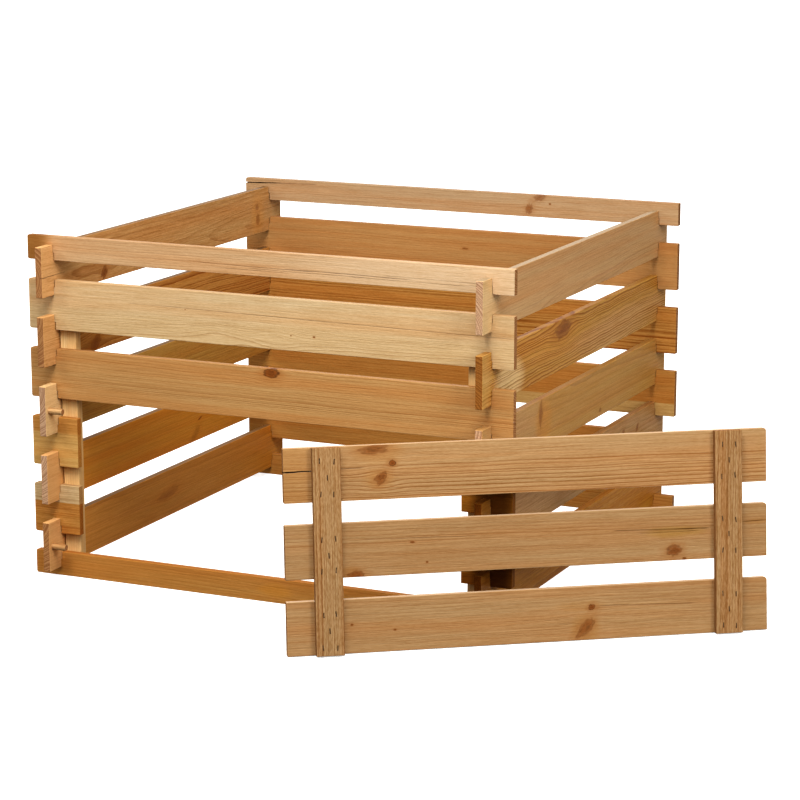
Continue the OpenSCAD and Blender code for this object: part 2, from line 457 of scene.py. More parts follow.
class Pine(Finish):
    """Oiled pine whose rings run along one board and show as bands in its end grain."""

    def __init__(self, name, timber, grain, tones):
        super().__init__(bpy.data.materials.new(name))
        self.place = timber.place
        self.half = timber.size / 2
        self.grain = grain
        self.tones = tones
        self.own = self.node("ShaderNodeMapping", {"vector_type": "TEXTURE"}, {
            "Vector": self.node("ShaderNodeTexCoord", None, None, "Object"),
            "Location": tuple(timber.place.translation),
            "Rotation": tuple(timber.place.to_euler()),
        })
        self.along, self.through, self.up = self.split(self.own)

    def layer(self, offset, long_way, short_way, detail=2.0):
        """Noise of the board's own seed, drawn out along the grain."""
        return self.cloud(self.own, (long_way, short_way, short_way), self.grain.seed + offset, detail)

    def toned(self, tone, tint=(1, 1, 1)):
        """A tone in this board's shade."""
        return [c * self.grain.shade * t for c, t in zip(getattr(self.tones, tone), tint)]

    def facing(self, axis):
        """How squarely the surface faces one axis of the board, 0 or 1 at most."""
        normal = self.node("ShaderNodeTexCoord", None, None, "Normal")
        return abs(self.vector("DOT_PRODUCT", normal, tuple(self.place.to_3x3().col[axis]), output="Value"))

    def straightened(self):
        """Height at which the grain would lie if it didn't bow round the knots."""
        up = self.up
        for knot in self.grain.knots:
            side = (self.along - knot.along) / (knot.size * (knot.stretch + 2.2))
            rise = (up - knot.up) / (knot.size * 2.4)
            near = ((side * side + rise * rise) * -1).math("EXPONENT")
            up = up - (up - knot.up) * near * 0.85
        return up

    def rings(self):
        """Latewood, 1 at a ring's dark edge, and the wider bands that a sawn end shows."""
        grain = self.grain
        rise = self.straightened() - grain.up + self.layer(0, 1.3, 4) * grain.wander
        lean = self.layer(31, 2.1, 3) * grain.wander
        wave = self.layer(57, 12, 22, 3) * grain.wave
        depth = self.through + lean + self.along * grain.slope - grain.depth
        turns = ((rise * rise + depth * depth) ** 0.5 + wave) / grain.ring
        growth = self.node("ShaderNodeTexNoise", {"noise_dimensions": "1D"},
                           {"W": turns * 0.37 + grain.seed, "Scale": 1, "Detail": 1})
        turns = turns + growth * 2.2
        chance = self.node("ShaderNodeTexWhiteNoise", {"noise_dimensions": "1D"},
                           {"W": turns.math("FLOOR") + grain.seed * 17})
        part = turns.math("FRACT")
        closing = 1 - part.smooth(0.93, 1.0)
        late = part ** 3.6 * closing * (chance * 0.8 + 0.6)
        late = late * (self.layer(67, 4, 40) * 0.35 + 0.9)
        if grain.calm:
            late = late * (1 - self.up.within(*grain.calm, 0.008) * 0.75)
        return late, part.smooth(0.15, 0.85) * closing

    def tinted(self, colour, late):
        """Adds the second tones and the patches, among them patches of painted light and painted shade, and
        calms the rings under the patches.
        """
        for split in self.grain.splits:
            edge = (self.up + self.layer(5, 1.5, 10) * 0.0015 - split.up) * split.side
            colour = self.mix(edge.smooth(-split.soft, split.soft), colour, self.toned(split.tone))
        for patch in self.grain.patches:
            side = (self.along - patch.along) / patch.reach
            rise = (self.up - patch.up + self.layer(7, 14, 60, 3) * 0.004) / patch.height
            cover = 1 - (side * side + rise * rise).smooth(0.1, 1.3)
            colour = self.mix(cover * patch.strength, colour, self.toned(patch.tone))
            late = late * (1 - cover * (patch.calms * patch.strength))
        return colour, late

    def on_knot(self, knot):
        """Place on a knot: along its length, across it and into the board, 1 at its edge."""
        side = self.along - knot.along
        rise = self.up - knot.up
        cos = math.cos(knot.turn)
        sin = math.sin(knot.turn)
        return self.node("ShaderNodeCombineXYZ", None, {
            "X": (side * cos + rise * sin) / (knot.size * knot.stretch),
            "Y": (rise * cos - side * sin) / knot.size,
            "Z": self.through / knot.size,
        })

    def knotted(self, colour):
        """Adds the halo, the heart and the bark ring of each knot."""
        for seed, knot in enumerate(self.grain.knots, self.grain.seed + 83):
            place = self.on_knot(knot)
            long_way, short_way, _ = self.split(place)
            wobble = self.cloud(place, (1.1, 1.1, 0.3), seed, 4) * (0.16 + 0.42 * knot.ragged)
            distance = (long_way * long_way + short_way * short_way) ** 0.5 + wobble
            mottle = self.cloud(place, (2.2, 2.2, 0.5), seed + 7, 4)
            hatch = self.cloud(place, (1.3, 6, 0.5), seed + 13, 4)
            halo = (1 - distance.smooth(0.5, 2.6)) * (0.75 * knot.dark)
            colour = self.mix(halo, colour, self.toned(self.grain.tone, HALO_TINT))
            hoops = (distance * 13 + mottle * 2).math("SINE") * (0.22 * (1 - knot.ragged))
            light = hoops + mottle * 0.4 + hatch * 0.45 + distance * 0.35 + 0.75
            soft = 0.15 + 0.4 * knot.ragged
            heart = (1 - distance.smooth(0.9 - soft, 0.9 + soft)) * knot.dark
            colour = self.mix(heart, colour, self.scaled(tuple(self.tones.knot), light))
            ring = distance.within(0.80, 1.06, 0.12) * (mottle * 0.5 + 0.75 - 0.5 * knot.ragged)
            flaw = hatch.smooth(0.35, 0.8) * (1 - distance.smooth(0.7, 1.2))
            bark = (ring + flaw * (0.5 + 0.5 * knot.ragged)) * knot.dark
            colour = self.mix(bark, colour, self.tones.bark)
        return colour

    def marks_and_recess_shade(self):
        """Mask of resin lines and of painted shade on the walls of cracks, or on a rough batten of painted
        shade in all that lies below its faces, such as the staple dents.
        """
        half = self.half
        # On a rough batten, painted shade in everything below its faces, such as its staple dents
        if self.grain.rough:
            return inside(self.through, half.y) * inside(self.up, half.z) * 0.85
        mask = 0
        for line in self.grain.lines:
            slope = (line.end_up - line.start_up) / (line.end - line.start)
            level = self.cloud(self.own, (7, 1, 1), self.grain.seed + 43, 3) * 0.0008
            gap = abs(self.up - self.along * slope - (level + line.start_up - line.start * slope))
            ink = self.layer(49, 20, 1) * 0.4 + 0.75
            here = self.along.within(line.start, line.end, 0.008)
            mask = (1 - gap.smooth(line.width * 0.3, line.width)) * here * ink * line.strength + mask
        # Painted shade on the walls of each crack
        for crack in self.grain.cracks:
            slope = (crack.end_up - crack.start_up) / (crack.end_along + half.x)
            gap = abs(self.up - crack.start_up - (self.along + half.x) * slope)
            near = 1 - gap.smooth(crack.width * 0.5 + 0.6 * MM, crack.width * 0.5 + 1.6 * MM)
            reach = 1 - self.along.smooth(crack.end_along, crack.end_along + 4 * MM)
            mask = near * inside(self.through, half.y) * reach + mask
        return mask

    def edged(self, colour):
        """Darkens the narrow edges with a tint, or from edge_from on gives them the board's edge tone, which
        on the left side boards is partly weathering and partly painted shade inside the bin.
        """
        narrow = self.facing(2).smooth(0.7, 0.95)
        start = self.grain.edge_from
        if not self.grain.edge:
            return self.mix(narrow, colour, EDGE_TINT, "MULTIPLY")
        narrow = narrow * self.along.smooth(start, start + 0.02)
        return self.mix(narrow * 0.85, colour, self.toned(self.grain.edge))

    def finished(self):
        """The whole surface: figure, stains and patches of painted light and shade, knots, edges, resin lines
        and painted shade in cracks and dents, sawn ends and relief.
        """
        grain = self.grain
        late, bands = self.rings()
        colour = self.mix(self.layer(29, 1.5, 42, 3).smooth(-0.7, 0.7),
                          self.toned(grain.tone, STRAW_TINT), self.toned(grain.tone, WARM_TINT))
        colour, late = self.tinted(colour, late)
        colour = self.mix(late * (1.4 * grain.contrast), colour, LATE_TINT, "MULTIPLY")

        streak = self.layer(19, 5, 150, 3)
        fibre = self.layer(23, 16, 430, 3)
        fuzz = self.layer(61, 110, 620, 3)
        figure = streak * 0.16 + fibre * 0.50 + fuzz * (0.35 + 0.6 * grain.rough)
        colour = self.mix(figure * (1 - grain.plain) + 0.5, colour, FIBRE_TINT, "MULTIPLY")
        colour = self.scaled(colour, self.layer(11, 2.4, 14) * 0.05 + 1)
        dash = self.layer(37, 22, 500, 1).smooth(0.65, 1.0)
        colour = self.mix(dash * (0.5 - 0.4 * grain.plain), colour, LATE_TINT, "MULTIPLY")

        colour = self.edged(self.knotted(colour))
        # Resin lines, and painted shade in cracks and dents, in the bark tone
        marks_and_recess_shade = self.marks_and_recess_shade()
        if isinstance(marks_and_recess_shade, Value):
            colour = self.mix(marks_and_recess_shade, colour, self.tones.bark)

        cut = self.facing(0).smooth(0.75, 0.9)
        pores = self.layer(47, 500, 500)
        if grain.end:
            sawn = self.mix(bands * 0.75, self.toned(grain.end, (END_LIGHT,) * 3), BAND_TINT, "MULTIPLY")
        else:
            sawn = self.mix(1.0, colour, END_TINT, "MULTIPLY")
        colour = self.mix(cut, colour, self.scaled(sawn, pores * 0.22 + 1.02))

        relief = streak * 0.25 + fibre * 0.45 - late * 0.5 + fuzz * (0.3 + grain.rough * 1.2)
        relief = relief + cut * pores * 0.8
        if grain.lines:
            relief = relief - marks_and_recess_shade * 2
        roughness = 0.56 + streak * 0.05 - late * 0.05 + cut * 0.2 + 0.15 * grain.rough
        return self.surface(
            {"Base Color": colour, "Roughness": roughness, "Normal": self.bump(relief, 0.45, 0.6 * MM)},
            {"Specular IOR Level": 0.05})


def metal(name, colour, dull, roughness, tarnish):
    """Small metal fixing with tarnish in blotches."""
    finish = Finish(bpy.data.materials.new(name))
    own = finish.node("ShaderNodeTexCoord", None, None, "Object")
    blotch = finish.cloud(own, (600, 600, 600), 3, 3).smooth(-0.3, 0.8)
    scratch = finish.cloud(own, (2400, 2400, 500), 9, 2)
    shade = finish.mix(blotch * tarnish, colour, dull)
    rough = blotch * 0.2 + scratch * 0.05 + roughness
    return finish.surface(
        {"Base Color": shade, "Roughness": rough, "Normal": finish.bump(scratch, 0.2, 0.0001)},
        {"Metallic": 1.0})


# How each board looks. Heights are from the board's middle and lengths from its middle,
# to the right on the front, the back and the panel, and to the back on the sides.
# Edge tone of the left side boards from just behind the front wall on: partly grey weathering, partly painted
# shade on their top edges inside the bin
WEATHERED_AND_SHADED_EDGES = {"edge": "shaded", "edge_from": -0.45}
GRAINS = {
    "front_board_1": Grain(
        "tan", 3, 0.97, 0.0042, 0.06, 0.03, 0.012, contrast=0.35, plain=0.35,
        lines=(Line(-0.13, -0.006, 0.1, -0.0078, 0.0011, 0.5),
               Line(-0.02, -0.0105, 0.21, -0.011, 0.001, 0.45),
               Line(0.05, -0.0062, 0.3, -0.0084, 0.0012, 0.6),
               Line(0.18, -0.0118, 0.4, -0.0125, 0.001, 0.45),
               Line(-0.1, -0.013, 0.05, -0.0135, 0.001, 0.35),
               Line(0.25, -0.0048, 0.43, -0.0066, 0.001, 0.4)),
        patches=(end_patch("russet", 0.9, 0.055), end_patch("deep", 0.7, 0.05),
                 Patch(0.5, 0, 0.45, 0.6, "blush", 0.9))),
    "front_board_2": Grain(
        "pale", 8, 1.0, 0.0027, -0.085, 0.03, 0.014, 0.007, 0.6, plain=0.3, calm=(-0.002, 0.06),
        wave=0.0014,
        knots=(Knot(0.107, -0.019, 0.0016, 1.4), Knot(-0.16, 0.012, 0.0008), Knot(0.06, -0.02, 0.001),
               Knot(-0.1, -0.04, 0.012, 3.0, 0, 0.0), Knot(0.03, -0.03, 0.009, 3.0, 0, 0.0)),
        splits=(Split(-0.004, "blond", 0.01, -1),),
        lines=(Line(-0.278, 0.0155, 0.5, 0.0075, 0.0012, 0.4),)),
    "front_board_3": Grain(
        "amber", 5, 1.01, 0.0046, 0.075, 0.028, 0.01, 0.006, 0.55, plain=0.4,
        knots=(Knot(0.018, 0.04, 0.0085, 1.9, 0.1, 0.95, 0.35),)),
    "front_stub_upper_left": Grain(
        "honey", 6, 1.05, 0.005, -0.03, 0.04, 0.01, 0.003, 0.3, plain=0.3, end="",
        splits=(Split(0.0175, "russet", 0.003),)),
    # Right-hand upper short board: its dark sawn ends and the near-black patch beside the crossing board are
    # painted shade, for the shadow behind the panel
    "front_stub_upper_right": Grain(
        "umber", 61, 0.95, 0.005, -0.03, 0.04, end="deep",
        patches=(Patch(-0.015, 0, 0.045, 0.4, "dusk", 0.85),)),
    "front_stub_lower_left": Grain(
        "russet", 62, 0.98, 0.0034, -0.07, 0.04, 0.01, 0.003, 0.5, end="",
        splits=(Split(0.0135, "blond", 0.0006),)),
    # Right-hand lower short board: likewise, its dark sawn ends and near-black patch are painted shade behind
    # the panel
    "front_stub_lower_right": Grain(
        "umber", 63, 0.8, 0.0045, -0.03, 0.04, end="deep",
        patches=(Patch(-0.015, 0, 0.045, 0.4, "dusk", 0.95),)),
    "front_bottom_board": Grain(
        "russet", 14, 1.03, 0.0055, 0.05, 0.03, 0.012, contrast=0.25, plain=0.4,
        patches=(Patch(0.02, 0, 0.04, 0.015, "umber", 0.5),)),
    "back_board_1": Grain(
        "tan", 21, 0.77, 0.0055, -0.05, 0.04, 0.012, contrast=0.3, plain=0.3,
        knots=(Knot(0.193, 0.019, 0.007, 1.8, 0.3, 0.6, 0.8),
               Knot(0.171, -0.006, 0.0075, 1.5, 1.2, 0.6, 0.8),
               Knot(0.217, 0.006, 0.0016)),
        lines=(Line(-0.43, 0.0148, -0.33, 0.0165, 0.0014, 0.6),),
        cracks=(Crack(0.0125, -0.405, 0.0152, 0.0028),)),
    "back_board_2": Grain(
        "copper", 22, 0.9, 0.005, 0.06, 0.045, 0.008, contrast=0.25, plain=0.4,
        knots=(Knot(0.024, 0.008, 0.0022, 3.0, 0, 0.6, 0.6),)),
    "back_board_3": Grain("russet", 23, 0.9, 0.008, 0.09, 0.02, 0.006, 0.004, 1.0),
    "back_board_4": Grain(
        "russet", 24, 0.9, 0.0055, -0.06, 0.04, contrast=0.3, plain=0.2,
        splits=(Split(-0.022, "honey", 0.001, -1),)),
    "back_board_5": Grain("russet", 25, 0.9, 0.0055, 0.05, 0.04, contrast=0.3, plain=0.3),
    "back_bottom_board": Grain("russet", 26, 0.9, 0.0055, 0.04, 0.03, plain=0.3),
    # Left side boards: the paler patches at their front ends are painted light, where the ends stick out past
    # the front wall into the light; the darker tone of boards 4 and 5 is partly painted shade inside the bin
    "left_board_1": Grain(
        "amber", 31, 1.03, 0.006, -0.02, 0.035, 0.02, 0.01, 0.45, **WEATHERED_AND_SHADED_EDGES,
        knots=(Knot(0.386, 0.01, 0.007, 1.0, 1.57, 0.45, 0.7),
               Knot(0.389, -0.018, 0.008, 1.4, 1.57, 0.45, 0.7),
               Knot(-0.27, -0.032, 0.009, 1.6, 0.9, 0.8, 0.6)),
        patches=(Patch(0.387, -0.004, 0.035, 0.05, "russet", 0.6), end_patch("bleached", 0.9)),
        cracks=(Crack(-0.0105, -0.415, -0.0095, 0.0014, 0.005),)),
    "left_board_2": Grain(
        "russet", 32, 0.95, 0.0055, 0.05, 0.04, 0.02, 0.006, 0.9, **WEATHERED_AND_SHADED_EDGES,
        knots=(Knot(-0.31, -0.034, 0.011, 1.8, 0.7, 0.6, 0.8),),
        patches=(end_patch("bleached", 0.85),)),
    "left_board_3": Grain(
        "gold", 33, 0.95, 0.0055, 0.05, 0.04, 0.02, **WEATHERED_AND_SHADED_EDGES, end="fresh", plain=0.3,
        patches=(end_patch("bleached", 0.9), end_patch("straw", 0.5))),
    "left_board_4": Grain(
        "umber", 34, 1.03, 0.005, 0.06, 0.04, 0.01, 0.004, 0.22, **WEATHERED_AND_SHADED_EDGES, plain=0.5,
        end="fresh",
        knots=(Knot(0.112, -0.003, 0.0016, 5, 0.3), Knot(0.092, -0.033, 0.008, 2.6, 0.6, 0.3, 1.0)),
        patches=(end_patch("bleached", 0.9),)),
    "left_board_5": Grain(
        "umber", 35, 1.07, 0.005, 0.06, 0.04, 0.01, 0.004, 0.3, **WEATHERED_AND_SHADED_EDGES, plain=0.4,
        knots=(Knot(-0.03, -0.001, 0.009, 4.5, 0.12, 0.36, 1.0),),
        patches=(Patch(-0.15, 0, 0.6, 0.4, "russet", 0.55, 0.3), end_patch("bleached", 0.9))),
    "right_board_1": Grain(
        "fawn", 41, 1.04, 0.0036, -0.065, 0.07, 0.03, 0.006, 0.3, plain=0.4, edge="rim", end="fresh",
        patches=(end_patch("straw", 0.5),)),
    "right_board_2": Grain(
        "gold", 42, 1.09, 0.0046, -0.075, 0.03, 0.03, 0.004, 1.8, plain=0.2, end="deep", wave=0.0026,
        knots=(Knot(-0.1, 0.031, 0.015, 2.8, 0.05, 0.75, 1.0),),
        patches=(Patch(-0.22, 0.026, 0.24, 0.035, "umber", 0.35, 0),
                 Patch(0.22, -0.02, 0.3, 0.04, "fawn", 0.5, 0),
                 Patch(-0.37, -0.02, 0.075, 0.045, "straw", 0.65, 0.3),
                 Patch(-0.5, 0, 0.045, 0.3, "honey", 0.55, 1.2))),
    "right_board_3": Grain(
        "gold", 43, 0.99, 0.006, 0.05, 0.04, 0.02, 0.005, 0.3, plain=0.3, end="fresh",
        knots=(Knot(-0.214, 0.022, 0.008, 2.8, 1.5, 0.55, 1.0),
               Knot(0.109, -0.036, 0.004, 1.5, 0, 0.5, 0.5)),
        patches=(Patch(0, 0, 0.7, 0.4, "fawn", 0.15, 0), end_patch("honey", 0.7),
                 Patch(-0.38, 0, 0.2, 0.3, "fawn", 0.5, 0.3),
                 Patch(-0.2, 0, 0.045, 0.05, "umber", 0.5, 0))),
    # Right side board 4: the paler patch behind its front end is painted light where the panel's shadow
    # falls; its dark front-end patches are painted shade, for the shadow behind the panel
    "right_board_4": Grain(
        "amber", 44, 0.92, 0.006, 0.05, 0.04, 0.02, 0.006, 0.4, end="",
        knots=(Knot(0.333, 0.016, 0.005, 2, 0.8, 0.6, 0.6), Knot(0.245, 0.021, 0.005, 2, 0.5, 0.6, 0.6)),
        patches=(Patch(-0.26, 0, 0.14, 0.3, "bleached", 0.9, 0.3), end_patch("umber", 0.95, 0.06),
                 end_patch("dusk", 0.5, 0.06))),
    # Right side board 5: the near-black patch at its front end is painted shade, for the shadow behind the
    # panel
    "right_board_5": Grain(
        "umber", 45, 0.76, 0.0055, -0.05, 0.04, end="", patches=(end_patch("dusk", 0.5, 0.06),)),
    "corner_batten_left": Grain("straw", 51, 1.0, 0.0035, 0.03, 0.03, 0.004, 0.002, 0.2, plain=0.6),
    "corner_batten_right": Grain("straw", 52, 0.9, 0.0035, 0.03, 0.03, 0.004, 0.002, 0.2, plain=0.6),
    "panel_board_top": Grain(
        "fawn", 71, 0.79, 0.0058, 0.08, 0.03, 0.012, 0.004, 1.0, plain=0.2, calm=(0.012, 0.06), edge="tan",
        knots=(Knot(-0.278, 0.041, 0.008, 3.0, 0.05, 0.7, 0.9),
               Knot(-0.246, 0.015, 0.0052, 1.2, 0, 0.95, 0.2),
               Knot(-0.266, -0.01, 0.008, 1.7, 0.8, 0.8, 0.8)),
        lines=(Line(-0.385, 0.008, -0.3, 0.0095, 0.0014, 0.7),),
        patches=(Patch(-0.27, 0.035, 0.05, 0.022, "russet", 0.4),
                 Patch(-0.27, -0.012, 0.03, 0.02, "russet", 0.45),
                 Patch(-0.44, 0, 0.06, 0.3, "russet", 0.45)),
        cracks=(Crack(0.0061, -0.368, 0.008, 0.003, 0.009),)),
    "panel_board_middle": Grain(
        "fawn", 72, 0.7, 0.0052, 0.09, 0.035, 0.012, 0.006, 0.35, plain=0.3, edge="tan",
        knots=(Knot(-0.213, 0.009, 0.0018, 2.2), Knot(-0.187, -0.028, 0.0016),
               Knot(-0.315, -0.045, 0.008, 1.9, 0, 0.8, 0.8),
               Knot(0.266, -0.031, 0.0095, 1.5, 0.2, 0.85, 0.9),
               Knot(0.285, -0.046, 0.0025, 1.3, 0, 0.9)),
        lines=(Line(0.155, 0.0105, 0.33, 0.0075, 0.0018, 0.75), Line(0.2, 0.004, 0.31, 0.004, 0.0014, 0.5),
               Line(0.395, 0.016, 0.437, 0.017, 0.0016, 0.6), Line(-0.3, 0.018, -0.1, 0.014, 0.0012, 0.4)),
        patches=(Patch(0.27, 0.004, 0.06, 0.012, "gold", 0.7),
                 Patch(0.42, 0.016, 0.03, 0.006, "russet", 0.6),
                 Patch(-0.33, -0.04, 0.03, 0.012, "russet", 0.6))),
    "panel_board_bottom": Grain(
        "fawn", 73, 0.745, 0.006, 0.08, 0.03, 0.015, 0.006, 0.35, plain=0.3, edge="tan",
        knots=(Knot(0.112, 0.011, 0.005, 1.3, 0.2, 0.9, 0.4),
               Knot(0.099, -0.027, 0.009, 2.5, 0.85, 0.7, 0.9),
               Knot(-0.324, 0.003, 0.0018, 1.5), Knot(-0.247, -0.01, 0.0016, 1.5)),
        lines=(Line(0.13, 0.012, 0.3, 0.008, 0.0013, 0.4),),
        patches=(Patch(0.1, -0.028, 0.03, 0.03, "russet", 0.5),
                 Patch(0.09, 0.015, 0.05, 0.01, "russet", 0.3))),
    "panel_batten_left": Grain("fawn", 81, 0.7, 0.0042, 0.05, 0.02, 0.006, 0.002, 0.8, 0.8),
    "panel_batten_right": Grain("fawn", 82, 0.7, 0.0046, 0.045, 0.02, 0.03, 0.004, 0.7, 0.8),
    **{"peg_" + place: Grain("fawn", seed, 0.95, 0.0022, 0.02, 0.02, 0.01, 0.001, 0.25)
       for seed, place in enumerate(("upper_left", "upper_right", "lower_left", "lower_right"), 91)},
}
PEG_OF = {f"{side}_board_{tier}": f"peg_{row}_{side}"
          for side in ("left", "right") for row, tier in (("upper", 3), ("lower", 5))}


# Places

class Timber:
    """Where a sawn piece lies: its own frame, X along the grain, Z across it, and its size."""

    def __init__(self, node, way):
        corners = [way.inverted() @ vertex.co for vertex in frame["nodes"][node].data.vertices]
        self.low = Vector(min(c[i] for c in corners) for i in range(3))
        self.high = Vector(max(c[i] for c in corners) for i in range(3))
        self.size = self.high - self.low
        self.place = Matrix.Translation(way @ ((self.low + self.high) / 2)) @ way.to_4x4()


LENGTHWISE = Matrix.Identity(3)
DEPTHWISE = Matrix.Rotation(math.radians(90), 3, "Z")
UPRIGHT = Matrix.Rotation(math.radians(-90), 3, "Y")


def panel_way(settings):
    """Direction of the panel that is set aside: turned about the vertical and leaning back."""
    return Matrix.Rotation(settings.panel.turn, 3, "Z") @ Matrix.Rotation(-settings.panel.lean, 3, "X")


def crossing():
    """How far a board runs past the board it crosses, that board's thickness, and half their overlap."""
    front_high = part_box("front_board_2")[1]
    side_low, side_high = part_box("right_board_1")
    return front_high.x - side_high.x, side_high.x - side_low.x, (front_high.z - side_low.z) / 2


# Modelling steps

def select_only(*pieces):
    """Selects these pieces and makes the first one active."""
    bpy.ops.object.select_all(action="DESELECT")
    for piece in pieces:
        piece.select_set(True)
    bpy.context.view_layer.objects.active = pieces[0]


@contextmanager
def editing(piece, kind):
    """Edit mode on one piece, with nothing selected."""
    select_only(piece)
    bpy.ops.object.mode_set(mode="EDIT")
    bpy.ops.mesh.select_mode(type=kind)
    bpy.ops.mesh.select_all(action="DESELECT")
    yield
    bpy.ops.object.mode_set(mode="OBJECT")


def choose(piece, kind, test):
    """Selects, in edit mode, the verts, edges or faces that pass the test."""
    mesh = bmesh.from_edit_mesh(piece.data)
    for part in getattr(mesh, kind):
        part.select_set(test(part))
    mesh.select_flush_mode()
    bmesh.update_edit_mesh(piece.data)


def apply_modifier(piece, kind, **settings):
    """Adds a modifier to a piece and applies it."""
    select_only(piece)
    modifier = piece.modifiers.new(kind, kind)
    for key, setting in settings.items():
        setattr(modifier, key, setting)
    bpy.ops.object.modifier_apply(modifier=modifier.name)


def apply_place():
    """Puts the active piece's place, turn and scale into its mesh."""
    bpy.ops.object.transform_apply(location=True, rotation=True, scale=True)


def add_box(name, low, high):
    """Box between two corners."""
    low, high = Vector(low), Vector(high)
    bpy.ops.object.select_all(action="DESELECT")
    bpy.ops.mesh.primitive_cube_add(size=1, location=(low + high) / 2, scale=high - low)
    apply_place()
    bpy.context.object.name = name
    return bpy.context.object


def add_rod(name, start, direction, length, radius, sides=48):
    """Round rod from a start point along a direction."""
    bpy.ops.object.select_all(action="DESELECT")
    turn = Vector(direction).to_track_quat("Z", "Y").to_euler()
    bpy.ops.mesh.primitive_cylinder_add(
        vertices=sides, radius=radius, depth=length, rotation=turn,
        location=Vector(start) + Vector(direction).normalized() * (length / 2))
    apply_place()
    bpy.context.object.name = name
    return bpy.context.object


def copy_piece(master, name):
    """Copy of a piece with its own mesh."""
    select_only(master)
    bpy.ops.object.duplicate(linked=False)
    bpy.context.object.name = name
    return bpy.context.object


def divide(piece, places, axis=0):
    """Divides a piece's faces where planes across an axis pass through them."""
    normal = [float(i == axis) for i in range(3)]
    for place in places:
        with editing(piece, "FACE"):
            bpy.ops.mesh.select_all(action="SELECT")
            bpy.ops.mesh.bisect(plane_co=[place * n for n in normal], plane_no=normal)


def delete(*pieces):
    """Removes helper pieces."""
    select_only(*pieces)
    bpy.ops.object.delete()


def join(name, pieces):
    """Joins pieces into one."""
    select_only(*pieces)
    if len(pieces) > 1:
        bpy.ops.object.join()
    bpy.context.object.name = name
    return bpy.context.object


def cut_away(piece, cutters):
    """Takes the cutters' space out of a piece."""
    cutter = join("cutter", cutters)
    apply_modifier(piece, "BOOLEAN", operation="DIFFERENCE", solver="EXACT", object=cutter)
    delete(cutter)


def bevel_sharp(piece, width, segments, limit=math.radians(50)):
    """Rounds every edge sharper than the limit."""
    apply_modifier(piece, "BEVEL", width=width, segments=segments, limit_method="ANGLE",
                   angle_limit=limit, use_clamp_overlap=True)


def smooth(piece, angle=math.radians(38)):
    """Smooths the rounded edges and keeps the sawn faces flat."""
    select_only(piece)
    bpy.ops.object.shade_smooth_by_angle(angle=angle)
    apply_modifier(piece, "WEIGHTED_NORMAL", keep_sharp=True, weight=50)


def move_to(piece, place):
    """Takes a piece from its own frame to its place, and puts the place into its mesh."""
    piece.matrix_world = place
    select_only(piece)
    apply_place()


def settle(piece, node, material):
    """Gives a finished piece its material and lets it stand for its node, whose box it keeps to."""
    low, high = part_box(node)
    for i in range(3):
        places = [vertex.co[i] for vertex in piece.data.vertices]
        if min(places) < low[i] - STRAY or max(places) > high[i] + STRAY:
            raise ValueError(f"{piece.name} leaves the box of {node} along axis {i}")
    piece.data.materials.clear()
    piece.data.materials.append(material)
    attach(piece, BODY_OF[node])
    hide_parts(node)


# Boards

def blank(name, size, left_radius, right_radius, rounding, foot_radius=None):
    """Board in its own frame with rounded end corners and worn edges, before its notches."""
    half = size / 2
    piece = add_box(name, -half, half)
    corners = {(-1, -1): left_radius, (-1, 1): left_radius, (1, 1): right_radius,
               (1, -1): right_radius if foot_radius is None else foot_radius}
    for (end, level), radius in corners.items():
        if radius > 0:
            with editing(piece, "EDGE"):
                choose(piece, "edges", lambda edge: abs(edge.verts[0].co.y - edge.verts[1].co.y) > half.y
                       and all(v.co.x * end > half.x - TINY for v in edge.verts)
                       and all(v.co.z * level > half.z - TINY for v in edge.verts))
                bpy.ops.mesh.bevel(offset=radius, segments=6, profile=0.5, affect="EDGES")
    bevel_sharp(piece, rounding, 3)
    return piece


def notch_cutters(size, overhang, thickness, depth, boards, ends, foot, head):
    """Boxes that cut a board's notches at the given ends, in its foot, its head or both."""
    half = size / 2
    outer = half.x - overhang + boards.outer_play
    inner = half.x - overhang - thickness - boards.inner_play
    cutters = []
    for end in ends:
        for wanted, z in ((foot, -1), (head, 1)):
            if wanted:
                x = sorted((end * outer, end * inner))
                y = half.y + CLEAR
                heights = sorted((z * (half.z - depth), z * (half.z + CLEAR)))
                cutters.append(add_box("notch", (x[0], -y, heights[0]), (x[1], y, heights[1])))
    return cutters


def notched(name, size, boards, radii, ends=(-1, 1), foot=True, head=True, stations=12):
    """Notched board in its own frame, with corner radii for its left and its right end."""
    piece = blank(name, size, *radii, boards.rounding)
    cut_away(piece, notch_cutters(size, *crossing(), boards, ends, foot, head))
    divide(piece, [size.x / 2 * (2 * i / stations - 1) for i in range(1, stations)])
    bevel_sharp(piece, boards.arris, 2)
    return piece


def season(piece, length, boards, chance):
    """Bows and twists a dry board a little, and returns how far its notches moved sideways."""
    bow = chance.uniform(-boards.bow, boards.bow)
    apply_modifier(piece, "SIMPLE_DEFORM", deform_method="BEND", deform_axis="Z", angle=8 * bow / length)
    apply_modifier(piece, "SIMPLE_DEFORM", deform_method="TWIST", deform_axis="X",
                   angle=chance.uniform(-boards.twist, boards.twist))
    overhang, thickness, _ = crossing()
    notch = length / 2 - overhang - thickness / 2
    sides = [v.co.y for v in piece.data.vertices if abs(abs(v.co.x) - notch) < thickness]
    return (min(sides) + max(sides)) / 2


